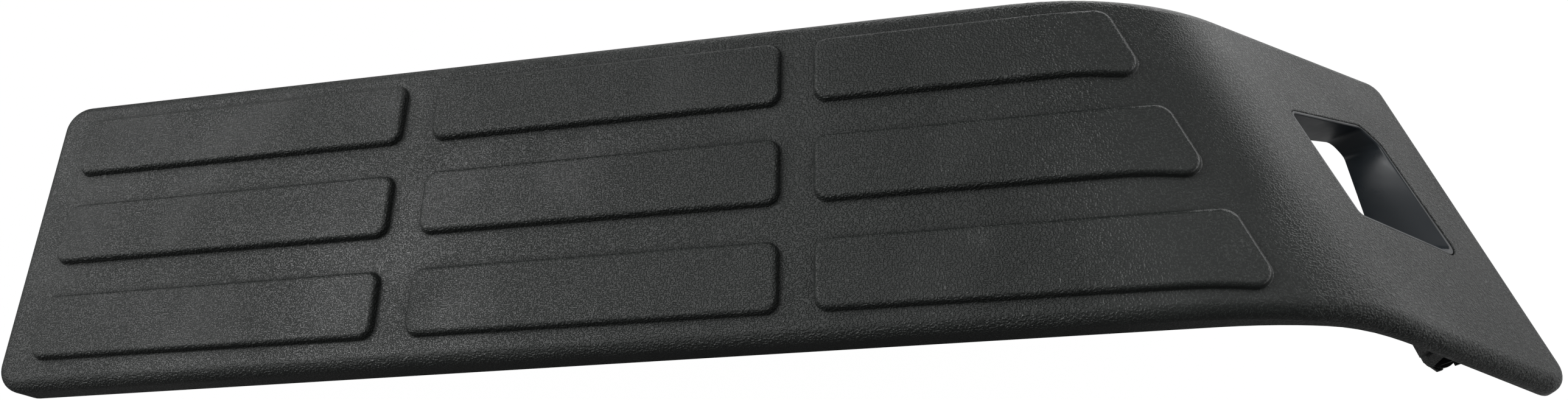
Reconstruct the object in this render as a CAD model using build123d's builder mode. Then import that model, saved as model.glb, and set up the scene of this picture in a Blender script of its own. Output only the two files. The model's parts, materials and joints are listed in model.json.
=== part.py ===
from build123d import *
from math import cos, radians, sin, sqrt, tan
import os

os.makedirs("parts", exist_ok=True)

# Origin: foot of the main locating pin, on the plane the pad sits on. +X runs to the sloped end,
# +Y to the far long edge, +Z up. All sizes in millimetres.

# --- pad outline and skin ---------------------------------------------------------------------
deck_z = 19.0                 # deck surface above the seat
skin = 3.0                    # moulded wall
left_x = -289.6
far_y = 84.7
far_left_y, far_right_y = 85.4, 83.7      # the far edge closes in a little towards the slope
near_left_y, near_flare_y = -85.3, -81.2
slope_edge = 11.0             # depth of the outer edge on the slope
flare_x = 395.0               # where the near edge starts to spread
tip = (503.4, -101.2)         # sharp crossing of near edge and end edge
far_end_x = 450.2             # sharp crossing of far edge and end edge
corner_r = 15.0
end_corner_r = 12.0
roll_r = 7.0                  # rolled outer edge

# --- bend -------------------------------------------------------------------------------------
fold_x = 313.5                # bend line crosses the far edge here
fold_skew = radians(22.3)     # bend line is skewed from square by this much
slope = radians(45.6)
bend_radius = 129.0
foot_radius = 110.0           # bend of the outer edge's foot
tangent = bend_radius * tan(slope / 2)

# --- treads -----------------------------------------------------------------------------------
tread_h = 4.0
tread_draft = 18.0
tread_corner = 7.2
tread_round = 2.2
tread_root = 0.8
tread_rows = [(-69.7, -33.7), (-15.7, 19.5), (37.4, 72.8)]
tread_cols = [(-266.6, -63.7), (-46.2, 143.8)]
last_col_x = 160.0
last_col_end = -15.4          # end of the last column, measured square to the bend line

# --- window in the slope, (along bend line, down slope) -----------------------------------------
window = [(75.6, 70.4), (84.3, 127.3), (96.0, 134.4), (162.5, 131.0), (135.5, 68.2)]
window_foot = [(75.5, 76.0), (79.7, 132.1), (89.3, 135.2), (146.0, 101.7), (132.0, 74.0)]
window_r = [3.0, 7.0, 7.0, 4.0, 4.0]
liner_depth = 19.0
liner_wall = 1.4
liner_gap = 0.2
rim_round = 0.8
rim_drop = 0.4                # the liner's rim sits this far below the slope's surface
flange_w = 9.0
flange_t = 2.0
stakes = [(70.2, 92.0), (73.6, 118.0), (124.0, 139.2), (152.5, 93.0)]
stake_r = 1.8

# --- underside --------------------------------------------------------------------------------
rib_t = 2.0
rib_lift = 3.0                # ribs stop this far above the seat
rib_rows = [-40.0, 0.0, 40.0]
rib_first_x, rib_pitch = -210.0, 37.5
pins = [(0.0, 0.0), (-210.0, 0.0)]
pin_r, pin_len = 4.0, 12.0
standoffs = [(-97.5, 0.0), (127.5, 0.0), (277.5, 0.0)]
boss_r = 8.0
standoff_r = 6.0

# --- clip houses: x, y, underside of the slot plate, direction of the open side ------------------
plate_z = 4.0
houses = [(x, y, plate_z, 0) for x in (-250.0, -100.0, 60.0, 210.0) for y in (-62.0, 62.0)]
houses += [(443.9, -77.9, -78.0, -73), (405.0, 60.0, -97.0, 180)]
house_back, house_front, house_half = 8.1, 8.0, 9.0
house_wall, plate_t = 2.0, 2.0
slot_half = 3.1

# --- clip -------------------------------------------------------------------------------------
head_x, head_y, head_t = 12.0, 13.6, 1.8
neck_r = 3.0
collar_r, collar_t = 7.2, 1.5
play = 0.1
stem_r, barb_r, stem_len = 2.3, 4.1, 16.5
seal_in, seal_out = 4.6, 6.8

along = (sin(fold_skew), -cos(fold_skew), 0)
across = (cos(fold_skew), sin(fold_skew), 0)
FOLD = Plane(origin=(fold_x, far_y, 0), x_dir=across, z_dir=along)
SLOPE = Plane(
    origin=(fold_x, far_y, deck_z),
    x_dir=along,
    z_dir=(sin(slope) * across[0], sin(slope) * across[1], cos(slope)),
)


def deck_line(offset):
    """Side profile of the deck, moved up or down: flat, bend (3 points), slope."""
    r = bend_radius + offset
    low = deck_z - bend_radius
    half = (-tangent + r * sin(slope / 2), low + r * cos(slope / 2))
    done = (-tangent + r * sin(slope), low + r * cos(slope))
    return [
        (-700, deck_z + offset),
        (-tangent, deck_z + offset),
        half,
        done,
        (done[0] + 260 * cos(slope), done[1] - 260 * sin(slope)),
    ]


def deck_height(x, y, offset):
    """Height of the deck, moved by offset, over a point in plan."""
    r = bend_radius + offset
    s = (x - fold_x) * across[0] + (y - far_y) * across[1] + tangent
    if s <= 0:
        return deck_z + offset
    if s <= r * sin(slope):
        return deck_z - bend_radius + sqrt(r * r - s * s)
    return deck_z - bend_radius + r * cos(slope) - (s - r * sin(slope)) * tan(slope)


def seat_line(lift):
    """Side profile of the outer edge's foot, raised by lift: shallower on the slope than under the deck."""
    depth = lift - slope_edge
    corner = (depth - cos(slope) * (lift - deck_z)) / sin(slope)
    start = corner - foot_radius * tan(slope / 2)
    low = lift - foot_radius
    done = (start + foot_radius * sin(slope), low + foot_radius * cos(slope))
    return [
        (-700, lift),
        (start, lift),
        (start + foot_radius * sin(slope / 2), low + foot_radius * cos(slope / 2)),
        done,
        (done[0] + 260 * cos(slope), done[1] - 260 * sin(slope)),
    ]


def band(top, low):
    """Everything between two side profiles."""
    with BuildPart() as slab:
        with BuildSketch(FOLD):
            with BuildLine():
                Line(top[0], top[1])
                ThreePointArc(top[1], top[2], top[3])
                Line(top[3], top[4])
                Line(top[4], low[4])
                Line(low[4], low[3])
                ThreePointArc(low[3], low[2], low[1])
                Line(low[1], low[0])
                Line(low[0], top[0])
            make_face()
        extrude(amount=300, both=True)
    return slab.part


def rim_edges(solid, offset):
    """Outer edges lying on the deck surface moved by offset."""
    picked = []
    for e in solid.edges():
        spots = [e.position_at(t) for t in (0, 0.5, 1)]
        on = all(abs(p.Z - deck_height(p.X, p.Y, offset)) < 0.02 for p in spots)
        seam = abs(abs((e % 0.5).dot(Vector(*along))) - 1) < 1e-6
        if on and not seam:
            picked.append(e)
    return ShapeList(picked)


def round_window(edge):
    """True for an edge beside the window."""
    spot = SLOPE.to_local_coords(edge.center())
    return 68 < spot.X < 170 and 63 < spot.Y < 140


def round_tread(edge):
    """True for an edge inside the pad's rolled edge and off the slope."""
    spot = edge.center()
    return -272 < spot.X < 345 and -72.5 < spot.Y < 76


def at_liner_rim(face):
    return abs(SLOPE.to_local_coords(face.center()).Z + rim_drop) < 0.02


def outline_block(inset):
    """The pad's plan outline as a tall block."""
    with BuildPart() as block:
        with BuildSketch(Plane.XY.offset(-260)) as plan:
            with BuildLine():
                Polyline((left_x, near_left_y), (flare_x, near_flare_y), tip, (far_end_x, far_right_y),
                         (left_x, far_left_y), close=True)
            make_face()
            fillet(plan.vertices().filter_by(lambda v: v.X < 0), corner_r)
            fillet(plan.vertices().filter_by(lambda v: v.X > 420), end_corner_r)
            fillet(plan.vertices().sort_by_distance((flare_x, near_flare_y, -260))[0], 150)
            if inset:
                offset(amount=-inset)
        extrude(amount=320)
    return block.part


def tread_block(grow, draft):
    """Plan outlines of the nine treads as tall blocks; grow is at deck height."""
    with BuildPart() as blocks:
        for low, high in tread_rows:
            spans = [[(a, low), (b, low), (b, high), (a, high)] for a, b in tread_cols]
            end = [
                fold_x + (last_col_end - (y - far_y) * across[1]) / across[0] for y in (low, high)
            ]
            spans.append([(last_col_x, low), (end[0], low), (end[1], high), (last_col_x, high)])
            for corners in spans:
                with BuildSketch(Plane.XY.offset(10)) as bar:
                    with BuildLine():
                        Polyline(*corners, close=True)
                    make_face()
                    fillet(bar.vertices(), tread_corner)
                    if grow:
                        offset(amount=grow)
                extrude(amount=16, taper=draft)
    return blocks.part


def window_block(grow, top, bottom):
    """Straight block through the window, square to the slope."""
    with BuildPart() as block:
        with BuildSketch(SLOPE.offset(bottom)) as hole:
            with BuildLine():
                Polyline(*window, close=True)
            make_face()
            for corner, r in zip(window, window_r):
                fillet(hole.vertices().sort_by_distance(corner)[0], r)
            if grow:
                offset(amount=grow)
        extrude(amount=top - bottom)
    return block.part


def liner_core(grow, reach):
    """The funnel's loft, spread by grow and run past both rims by reach."""
    with BuildPart() as core:
        with BuildSketch(SLOPE.offset(reach)) as mouth:
            with BuildLine():
                Polyline(*window, close=True)
            make_face()
            for corner, r in zip(window, window_r):
                fillet(mouth.vertices().sort_by_distance(corner)[0], r)
            offset(amount=grow)
        with BuildSketch(SLOPE.offset(-liner_depth - reach)) as foot:
            with BuildLine():
                Polyline(*window_foot, close=True)
            make_face()
            for corner, r in zip(window_foot, window_r):
                fillet(foot.vertices().sort_by_distance(corner)[0], r)
            offset(amount=grow)
        loft(ruled=True)
    return core.part


def house_block(x, y, z, turn, roof):
    """Clip house: three walls and a slotted plate; the open side faces local +X.
    A house turned off square has its outer corner cut back and a side gusset."""
    frame = Plane(origin=(x, y, z), x_dir=(cos(radians(turn)), sin(radians(turn)), 0), z_dir=(0, 0, 1))
    length = house_back + house_front
    with BuildPart(frame) as house:
        with Locations((-house_back, 0, 0)):
            Box(length, 2 * house_half, roof, align=(Align.MIN, Align.CENTER, Align.MIN))
        with Locations((-house_back + house_wall, 0, plate_t)):
            Box(length, 2 * (house_half - house_wall), roof,
                align=(Align.MIN, Align.CENTER, Align.MIN), mode=Mode.SUBTRACT)
        Cylinder(slot_half, 3 * plate_t, mode=Mode.SUBTRACT)
        Box(house_front + 1, 2 * slot_half, 2 * plate_t,
            align=(Align.MIN, Align.CENTER, Align.CENTER), mode=Mode.SUBTRACT)
        if turn % 90:
            with BuildSketch(frame):
                with BuildLine():
                    Polyline((house_front + 1, -house_half - 1), (house_front + 1, 3.9 - house_half),
                             (house_front - 7.9, -house_half - 1), close=True)
                make_face()
            extrude(amount=roof + 1, mode=Mode.SUBTRACT)
            with Locations((-house_back, -house_half + 0.5, 8)):
                Box(8.6, 3.6, roof - 8, align=(Align.MIN, Align.MAX, Align.MIN))
    return house.part


def rib_block():
    """Underside rib grid, kept clear of the clip houses, their slide paths and the window."""
    with BuildPart() as ribs:
        for i in range(18):
            if i % 4 != 3:
                with Locations((rib_first_x + rib_pitch * i, 0, -60)):
                    Box(rib_t, 240, 170)
        for y in rib_rows:
            with Locations((100, y, -60)):
                Box(840, rib_t, 170)
        add(band(deck_line(tread_h), seat_line(rib_lift)), mode=Mode.INTERSECT)
        for x, y, z, turn in houses:
            away = (cos(radians(turn)), sin(radians(turn)))
            with Locations((x + 8 * away[0], y + 8 * away[1], -60)):
                Box(36 if away[0] ** 2 > 0.5 else 21, 36 if away[1] ** 2 > 0.5 else 21, 170,
                    mode=Mode.SUBTRACT)
        add(window_block(flange_w + 3, 5, -40), mode=Mode.SUBTRACT)
    return ribs.part


def bosses():
    """Standoffs and the foot of each locating pin, down to the seat."""
    with BuildPart() as posts:
        with Locations(*[(x, y, 0) for x, y in standoffs]):
            Cylinder(standoff_r, 24, align=(Align.CENTER, Align.CENTER, Align.MIN))
        with Locations(*[(x, y, 0) for x, y in pins]):
            Cylinder(boss_r, 24, align=(Align.CENTER, Align.CENTER, Align.MIN))
    return posts.part


def locating_pins():
    with BuildPart() as studs:
        with Locations(*[(x, y, 1) for x, y in pins]):
            Cylinder(pin_r, pin_len + 1, align=(Align.CENTER, Align.CENTER, Align.MAX))
        chamfer(studs.edges().group_by(Axis.Z)[0], 1.5)
    return studs.part


# --- hollow of the moulding ---------------------------------------------------------------------
with BuildPart() as hollow:
    add(outline_block(skin))
    add(band(deck_line(-skin), deck_line(-60)), mode=Mode.INTERSECT)
    fillet(rim_edges(hollow.part, -skin), roll_r - skin)

with BuildPart() as cores:
    add(tread_block(-skin, 0))
    add(band(deck_line(tread_h - skin), deck_line(-skin - 2)), mode=Mode.INTERSECT)

with BuildPart() as void:
    add(hollow.part)
    add(cores.part)
    add(rib_block(), mode=Mode.SUBTRACT)
    add(bosses(), mode=Mode.SUBTRACT)
    for x, y, z, turn in houses:
        add(house_block(x, y, z, turn, 22 if z > 0 else 60), mode=Mode.SUBTRACT)

# --- moulded pad ----------------------------------------------------------------------------------
with BuildPart() as treads:
    add(tread_block(2.92, tread_draft))
    add(band(deck_line(tread_h), deck_line(-2)), mode=Mode.INTERSECT)
    fillet(rim_edges(treads.part, tread_h), tread_round)

with BuildPart() as low_houses:
    for x, y, z, turn in houses:
        if z < 0:
            add(house_block(x, y, z, turn, 60))
    add(band(deck_line(-skin - 1), deck_line(-90)), mode=Mode.INTERSECT)

with BuildPart() as heat_stakes:
    with BuildSketch(SLOPE.offset(-skin + 1)):
        with Locations(*stakes):
            Circle(stake_r)
    extrude(amount=-(flange_t + 2.2))

with BuildPart() as step_pad:
    add(outline_block(0))
    add(band(deck_line(0), seat_line(0)), mode=Mode.INTERSECT)
    fillet(rim_edges(step_pad.part, 0), roll_r)
    add(treads.part)
    fillet(rim_edges(step_pad.part, 0).filter_by(round_tread), tread_root)
    add(void.part, mode=Mode.SUBTRACT)
    add(window_block(liner_wall, 10, -30), mode=Mode.SUBTRACT)
    add(liner_core(liner_wall, 0.5), mode=Mode.SUBTRACT)
    fillet(rim_edges(step_pad.part, 0).filter_by(round_window), rim_round)
    add(locating_pins())
    add(low_houses.part)
    add(heat_stakes.part)
step_pad.part.label = "step_pad"
export_step(step_pad.part, "parts/step_pad.step")

# --- window liner ---------------------------------------------------------------------------------
with BuildPart() as window_liner:
    add(liner_core(liner_wall - liner_gap, 0))
    add(window_block(liner_wall + 2, 1, -rim_drop), mode=Mode.SUBTRACT)
    add(window_block(flange_w, -skin - 0.05, -skin - 0.05 - flange_t))
    with BuildSketch(SLOPE.offset(-skin)):
        with Locations(*stakes):
            Circle(stake_r + 0.3)
    extrude(amount=-2 * flange_t, mode=Mode.SUBTRACT)
    add(liner_core(-liner_gap, 0.5), mode=Mode.SUBTRACT)
    fillet(window_liner.faces().filter_by(at_liner_rim)[0].inner_wires()[0].edges(), rim_round)
window_liner.part.label = "window_liner"
export_step(window_liner.part, "parts/window_liner.step")


# --- clips and their seals --------------------------------------------------------------------------
def clip_solid(x, y, z, turn):
    """Push-in clip in its house: head, neck, collar and barbed stem."""
    frame = Plane(origin=(x, y, z), x_dir=(cos(radians(turn)), sin(radians(turn)), 0), z_dir=(0, 0, 1))
    collar_low = -play - collar_t
    with BuildPart(frame) as clip:
        with Locations((0, 0, plate_t + play)):
            Box(head_x, head_y, head_t, align=(Align.CENTER, Align.CENTER, Align.MIN))
        fillet(clip.edges().filter_by(Axis.Z), 1.0)
        with Locations((0, 0, collar_low)):
            Cylinder(neck_r, plate_t + 2 * play + collar_t + 0.5,
                     align=(Align.CENTER, Align.CENTER, Align.MIN))
            Cylinder(collar_r, collar_t, align=(Align.CENTER, Align.CENTER, Align.MIN))
            Cylinder(stem_r, stem_len - 3, align=(Align.CENTER, Align.CENTER, Align.MAX))
        for i in range(4):
            with Locations((0, 0, collar_low - 5.2 - 2.6 * i)):
                Cone(stem_r, barb_r, 1.6, align=(Align.CENTER, Align.CENTER, Align.MIN))
        with Locations((0, 0, collar_low - stem_len)):
            Cone(0.8, stem_r, 3.2, align=(Align.CENTER, Align.CENTER, Align.MIN))
    return clip.part


def seal_solid(x, y, z, turn):
    """Foam ring under the clip's collar, down to the panel the pad is clipped to."""
    with BuildPart(Plane.XY.offset(z - plate_z)) as seal:
        with Locations((x, y, 0)):
            Cylinder(seal_out, plate_z - play - collar_t, align=(Align.CENTER, Align.CENTER, Align.MIN))
            Cylinder(seal_in, 3 * plate_z, mode=Mode.SUBTRACT)
    return seal.part


for i, spot in enumerate(houses, start=1):
    piece = clip_solid(*spot)
    piece.label = f"clip_{i}"
    export_step(piece, f"parts/clip_{i}.step")
    ring = seal_solid(*spot)
    ring.label = f"clip_seal_{i}"
    export_step(ring, f"parts/clip_seal_{i}.step")
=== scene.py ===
import json

import bpy
from mathutils import Matrix, Vector


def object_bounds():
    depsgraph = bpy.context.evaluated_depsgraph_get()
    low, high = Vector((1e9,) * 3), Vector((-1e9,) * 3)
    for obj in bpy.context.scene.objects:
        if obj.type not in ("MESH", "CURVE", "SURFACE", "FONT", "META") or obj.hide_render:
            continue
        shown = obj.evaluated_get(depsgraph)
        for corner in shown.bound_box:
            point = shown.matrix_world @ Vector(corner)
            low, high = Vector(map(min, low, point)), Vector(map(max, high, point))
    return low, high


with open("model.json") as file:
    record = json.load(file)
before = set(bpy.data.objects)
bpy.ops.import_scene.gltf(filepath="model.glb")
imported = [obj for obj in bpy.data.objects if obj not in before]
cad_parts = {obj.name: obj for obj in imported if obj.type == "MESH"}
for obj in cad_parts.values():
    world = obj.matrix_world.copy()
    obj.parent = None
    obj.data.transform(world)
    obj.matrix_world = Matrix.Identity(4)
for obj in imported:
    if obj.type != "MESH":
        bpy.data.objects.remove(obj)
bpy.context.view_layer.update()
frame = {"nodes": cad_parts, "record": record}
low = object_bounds()[0]

# Places and depths are in metres, and texture scales are in cycles per metre. A ramp is four
# numbers: where it starts and ends, and its value at the start and at the end.

# --- grained moulding -----------------------------------------------------------------------------
ridge_scale = 1040.0                          # winding ridges, under 2 mm apart
ridge_wall = (0.40, 0.70)
sway_scale, sway_reach = 700.0, 0.0006        # how the ridges are pushed about
fine_scale = 2600.0
ridge_depth, fine_depth = 0.00056, 0.00004
ridge_share, fine_share = 0.85, 0.15
crest_height, crest_half_width = 0.60, 0.060  # the paler tops of the ridges: partly the grain's own tone, partly a painted glint
patch_scale = 9.0                             # slow clouds in the colour
patch_share, crest_glint_share = 0.35, 0.65
grain_fades = (0.25, 0.33, 1.0, 0.14)         # along X: the grain softens into the bend
grain_returns = (0.35, 0.43, 0.0, 0.86)       # and comes back down the slope
worn_scale = 17.0
grain_worn = (0.36, 0.62, 0.62, 1.0)          # patches where the grain is a little softer
speck_scale = 760.0
specks = (0.40, 0.60, -0.22, 0.32)            # the slope's grain has paler and darker specks
specks_begin = (0.33, 0.43, 0.0, 1.0)
corner_reach = 0.008
painted_corner_shade = (0.50, 0.97, 0.0, 1.0)         # painted shade in corners and at tread roots, from the ambient occlusion
corner_rough, valley_rough = 0.35, 0.14       # extra roughness in corners and between ridges
sheen_scale = 14.0
sheen = (0.3, 0.7, 0.20, 0.30)
grain_dark, grain_pale = (0.0110, 0.0128, 0.0122), (0.0860, 0.0940, 0.0895)

# where the treads are scuffed pale: a place, and how far the scuff reaches
scuffs = [((0.258, 0.040, 0.023), 0.010), ((0.236, -0.040, 0.023), 0.008),
          ((0.345, -0.052, 0.014), 0.012), ((0.347, -0.062, 0.013), 0.008)]
scuff_pale = (0.24, 0.25, 0.245)
scuff_cover = 0.55
streak_scale = 900.0                          # scuffs are broken into fine streaks
streaks = (0.52, 0.68)

# --- studio ---------------------------------------------------------------------------------------
floor_size, floor_x, floor_gap = 8, 0.1, 0.001
floor_lean = 0.8                              # the fill grows towards +Y, and less towards +X
floor_glow = 1.5
floor_white, floor_seen = 1.06, 0.94          # white to the eye, and its share of what is seen

# The sky is the product of four ramps over the direction that its light comes from.
sky_left = (-0.10, 0.55, 0.60, 1.74)
sky_front = (-0.40, 0.20, 0.20, 1.0)
sky_behind = (0.50, 0.80, 1.0, 0.15)
sky_high = (0.15, 0.58, 0.22, 1.0)
sky_below = (-0.35, -0.05, 0.9, 0.0)          # or this, where it is brighter: lights the underside

camera_spot = (0.2635, -0.2277, 0.5158)
camera_right = Vector((0.97368, 0.00792, -0.22778))
camera_ahead = Vector((-0.21292, 0.38812, -0.89668))
camera_sensor, camera_lens = 36.0, 26.64      # millimetres

# sockets of a Mix node that mixes colours
MIX_FACTOR, MIX_FIRST, MIX_SECOND, MIX_RESULT = 0, 6, 7, 2
RAMP_LIMITS = 1                               # first of a Map Range node's four limits


# --- node helpers ---------------------------------------------------------------------------------
class Nodes:
    """Short calls for building one node tree."""

    def __init__(self, tree, coordinates="Object"):
        self.tree = tree
        self.shader = tree.nodes.get("Principled BSDF")
        self.place = self.put("ShaderNodeTexCoord").outputs[coordinates]

    def put(self, kind, **settings):
        node = self.tree.nodes.new(kind)
        for key, value in settings.items():
            setattr(node, key, value)
        return node

    def wire(self, value, socket):
        if isinstance(value, bpy.types.NodeSocket):
            self.tree.links.new(value, socket)
        else:
            socket.default_value = value

    def socket(self, name, value):
        self.wire(value, self.shader.inputs[name])

    def math(self, op, a, b=0.0):
        node = self.put("ShaderNodeMath", operation=op)
        self.wire(a, node.inputs[0])
        self.wire(b, node.inputs[1])
        return node.outputs[0]

    def plus(self, a, b):
        return self.math("ADD", a, b)

    def times(self, a, b):
        return self.math("MULTIPLY", a, b)

    def rest(self, value):
        return self.math("SUBTRACT", 1.0, value)

    def axes(self):
        node = self.put("ShaderNodeSeparateXYZ")
        self.wire(self.place, node.inputs[0])
        return node.outputs["X"], node.outputs["Y"], node.outputs["Z"]

    def noise(self, scale, detail=2.0, rough=0.5, at=None, output="Fac"):
        node = self.put("ShaderNodeTexNoise")
        self.wire(at or self.place, node.inputs["Vector"])
        node.inputs["Scale"].default_value = scale
        node.inputs["Detail"].default_value = detail
        node.inputs["Roughness"].default_value = rough
        return node.outputs[output]

    def pores(self, scale):
        node = self.put("ShaderNodeTexVoronoi", feature="F1")
        self.wire(self.place, node.inputs["Vector"])
        node.inputs["Scale"].default_value = scale
        return node.outputs["Distance"]

    def ramp(self, value, start, end, at_start=0.0, at_end=1.0):
        node = self.put("ShaderNodeMapRange", interpolation_type="SMOOTHSTEP")
        self.wire(value, node.inputs["Value"])
        for i, limit in enumerate((start, end, at_start, at_end), start=RAMP_LIMITS):
            node.inputs[i].default_value = limit
        return node.outputs["Result"]

    def swayed(self, scale, reach):
        """Coordinates pushed about by noise, so that what is drawn on them winds."""
        centred = self.put("ShaderNodeVectorMath", operation="SUBTRACT")
        self.wire(self.noise(scale, 1.0, output="Color"), centred.inputs[0])
        centred.inputs[1].default_value = (0.5, 0.5, 0.5)
        scaled = self.put("ShaderNodeVectorMath", operation="SCALE")
        self.wire(centred.outputs[0], scaled.inputs[0])
        scaled.inputs["Scale"].default_value = reach
        moved = self.put("ShaderNodeVectorMath", operation="ADD")
        self.wire(self.place, moved.inputs[0])
        self.wire(scaled.outputs[0], moved.inputs[1])
        return moved.outputs[0]

    def near(self, spot, reach):
        """1 at a spot, falling to 0 at reach."""
        away = self.put("ShaderNodeVectorMath", operation="DISTANCE")
        self.wire(self.place, away.inputs[0])
        away.inputs[1].default_value = spot
        return self.ramp(away.outputs["Value"], 0.0, reach, 1.0, 0.0)

    def occlusion(self, reach):
        node = self.put("ShaderNodeAmbientOcclusion", samples=8)
        node.inputs["Distance"].default_value = reach
        return node.outputs["AO"]

    def colour(self, fac, first, second):
        """Mix of two colours, each three numbers or another node's output."""
        node = self.put("ShaderNodeMix", data_type="RGBA")
        self.wire(fac, node.inputs[MIX_FACTOR])
        for value, i in ((first, MIX_FIRST), (second, MIX_SECOND)):
            self.wire((*value, 1) if isinstance(value, tuple) else value, node.inputs[i])
        return node.outputs[MIX_RESULT]

    def bump(self, height, distance, strength=1.0, under=None):
        node = self.put("ShaderNodeBump")
        self.wire(height, node.inputs["Height"])
        node.inputs["Distance"].default_value = distance
        node.inputs["Strength"].default_value = strength
        if under is not None:
            self.wire(under, node.inputs["Normal"])
        return node.outputs["Normal"]


def new_material(name):
    mat = bpy.data.materials.new(name)
    mat.use_nodes = True
    return mat, Nodes(mat.node_tree)


# --- materials ------------------------------------------------------------------------------------
def grained_plastic():
    """Leather-grained moulding: winding ridges, softest on the bend, with pale scuffs, painted
    glints on the ridge tops and painted shade in corners.
    """
    mat, n = new_material("grained_black_plastic")
    x = n.axes()[0]

    winding = n.noise(ridge_scale, 0.0, at=n.swayed(sway_scale, sway_reach))
    ridge = n.ramp(winding, *ridge_wall)
    # paler ridge tops: partly the grain's own tone, partly a painted glint
    off_crest = n.math("ABSOLUTE", n.math("SUBTRACT", winding, crest_height))
    crest_glint = n.ramp(off_crest, 0.0, crest_half_width, 1.0, 0.0)
    fine = n.noise(fine_scale, 2.0, 0.6)
    relief = n.plus(n.times(ridge, ridge_share), n.times(fine, fine_share))
    along = n.plus(n.ramp(x, *grain_fades), n.ramp(x, *grain_returns))
    soft = n.times(n.ramp(n.noise(worn_scale), *grain_worn), along)
    coarse = n.bump(n.times(relief, soft), ridge_depth)
    n.socket("Normal", n.bump(fine, fine_depth, 0.5, under=coarse))

    # painted shade: the colour darkens where the ambient occlusion finds corners and tread roots
    shade = n.ramp(n.occlusion(corner_reach), *painted_corner_shade)
    patch = n.noise(patch_scale, 3.0, 0.55)
    tone = n.plus(n.times(patch, patch_share), n.times(crest_glint, crest_glint_share))
    speckle = n.times(n.ramp(n.noise(speck_scale, 1.0), *specks), n.ramp(x, *specks_begin))
    # the painted corner shade darkens the whole tone, glints and specks included
    tone = n.times(n.plus(tone, speckle), shade)
    base = n.colour(tone, grain_dark, grain_pale)

    wear = 0.0
    for spot, reach in scuffs:
        wear = n.math("MAXIMUM", wear, n.near(spot, reach))
    streak = n.ramp(n.noise(streak_scale, 3.0, 0.7), *streaks)
    wear = n.times(n.times(wear, streak), scuff_cover)
    n.socket("Base Color", n.colour(wear, base, scuff_pale))

    rough = n.ramp(n.noise(sheen_scale, 3.0), *sheen)
    rough = n.plus(rough, n.times(n.rest(ridge), valley_rough))
    n.socket("Roughness", n.plus(rough, n.times(n.rest(shade), corner_rough)))
    n.socket("IOR", 1.5)
    return mat


def smooth_plastic():
    mat, n = new_material("smooth_black_plastic")
    cloud = n.noise(35.0, 4.0, 0.6)
    n.socket("Base Color", n.colour(cloud, (0.016, 0.021, 0.026), (0.030, 0.037, 0.044)))
    n.socket("Roughness", n.ramp(n.noise(60.0, 4.0, 0.6), 0.3, 0.7, 0.26, 0.42))
    n.socket("Normal", n.bump(n.noise(420.0), 0.00003, 0.5))
    n.socket("IOR", 1.52)
    return mat


def nylon():
    mat, n = new_material("clip_nylon")
    cloud = n.noise(120.0, 3.0)
    n.socket("Base Color", n.colour(cloud, (0.010, 0.010, 0.011), (0.022, 0.022, 0.023)))
    n.socket("Roughness", n.ramp(n.noise(300.0, 3.0), 0.3, 0.7, 0.38, 0.52))
    n.socket("Normal", n.bump(n.noise(1800.0, 3.0), 0.00003, 0.6))
    n.socket("IOR", 1.53)
    return mat


def foam():
    mat, n = new_material("foam_seal")
    pores = n.ramp(n.pores(1500.0), 0.1, 0.55)
    n.socket("Base Color", n.colour(pores, (0.012, 0.012, 0.012), (0.035, 0.035, 0.036)))
    n.socket("Roughness", n.ramp(pores, 0.0, 1.0, 0.95, 0.8))
    n.socket("Normal", n.bump(pores, 0.0002, 0.8))
    return mat


def floor_paper():
    """Pale sweep: evenly white to the eye, and a fill light that grows behind and to the right."""
    mat, n = new_material("studio_floor")
    x, y, _ = n.axes()
    shade = n.ramp(n.plus(n.times(x, floor_lean), y), 0.0, 1.0)
    n.socket("Base Color", n.colour(shade, (0.10, 0.10, 0.10), (0.80, 0.80, 0.80)))
    n.socket("Roughness", 0.9)
    n.socket("Emission Color", (1, 1, 1, 1))
    n.socket("Emission Strength", n.times(shade, floor_glow))
    white = n.put("ShaderNodeEmission")
    white.inputs["Color"].default_value = (1, 1, 1, 1)
    white.inputs["Strength"].default_value = floor_white
    mix = n.put("ShaderNodeMixShader")
    camera_ray = n.put("ShaderNodeLightPath").outputs["Is Camera Ray"]
    n.wire(n.times(camera_ray, floor_seen), mix.inputs[0])
    n.wire(n.shader.outputs[0], mix.inputs[1])
    n.wire(white.outputs[0], mix.inputs[2])
    n.wire(mix.outputs[0], n.tree.nodes["Material Output"].inputs["Surface"])
    return mat


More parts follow.
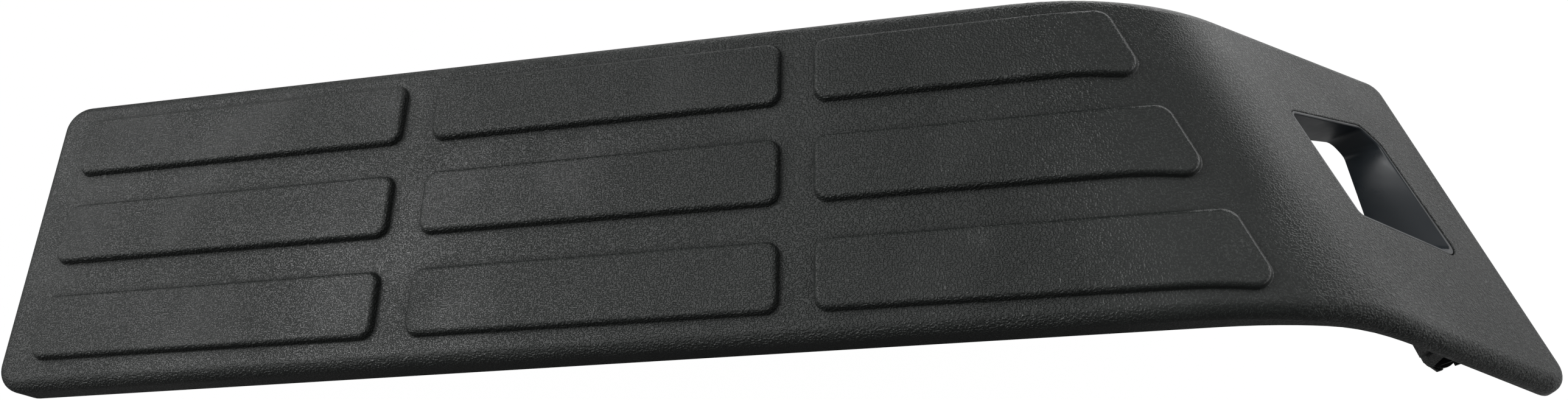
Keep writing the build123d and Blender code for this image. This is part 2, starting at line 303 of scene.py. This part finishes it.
def studio_sky():
    """White to the eye; as a light, a soft box high up, dim in front and brightest on the left."""
    world = bpy.data.worlds.new("studio")
    world.use_nodes = True
    n = Nodes(world.node_tree, "Generated")
    x, y, z = n.axes()
    sides = n.times(n.ramp(n.times(x, -1.0), *sky_left), n.ramp(y, *sky_front))
    power = n.times(sides, n.times(n.ramp(y, *sky_behind), n.ramp(z, *sky_high)))
    power = n.math("MAXIMUM", power, n.ramp(z, *sky_below))
    camera_ray = n.put("ShaderNodeLightPath").outputs["Is Camera Ray"]
    back = n.tree.nodes["Background"]
    back.inputs["Color"].default_value = (1, 1, 1, 1)
    n.wire(n.math("MAXIMUM", camera_ray, power), back.inputs["Strength"])
    return world


materials = {
    "grained_black_plastic": grained_plastic(),
    "smooth_black_plastic": smooth_plastic(),
    "clip_nylon": nylon(),
    "foam_seal": foam(),
}

slots = {s["node"]: s["material_slot"] for s in frame["record"]["subparts"]}
for name, node in frame["nodes"].items():
    node.data.materials.clear()
    node.data.materials.append(materials[slots[name]])


# --- floor, lights and camera ---------------------------------------------------------------------
def soft_light(name, spot, aim, size, power):
    data = bpy.data.lights.new(name, "AREA")
    data.shape = "RECTANGLE"
    data.size, data.size_y = size
    data.energy = power
    lamp = bpy.data.objects.new(name, data)
    bpy.context.scene.collection.objects.link(lamp)
    lamp.location = spot
    lamp.rotation_euler = (Vector(aim) - Vector(spot)).to_track_quat("-Z", "Y").to_euler()


def add_camera(spot, right, ahead):
    """Camera at spot, looking ahead, with right squared up to the view."""
    ahead = ahead.normalized()
    up = right.cross(ahead).normalized()
    right = ahead.cross(up)
    data = bpy.data.cameras.new("camera")
    data.sensor_width = camera_sensor
    data.lens = camera_lens
    data.clip_start = 0.01
    camera = bpy.data.objects.new("camera", data)
    bpy.context.scene.collection.objects.link(camera)
    turn = Matrix((right, up, -ahead)).transposed().to_4x4()
    camera.matrix_world = Matrix.Translation(spot) @ turn
    return camera


bpy.ops.mesh.primitive_plane_add(size=floor_size, location=(floor_x, 0, low.z - floor_gap))
floor = bpy.context.object
floor.name = "studio_floor"
floor.data.materials.append(floor_paper())

bpy.context.scene.world = studio_sky()
soft_light("left_box", (-0.85, 0.40, 1.3), (-0.05, 0, 0), (0.6, 0.6), 5)
bpy.context.scene.camera = add_camera(camera_spot, camera_right, camera_ahead)
bpy.context.scene.view_settings.view_transform = "Standard"
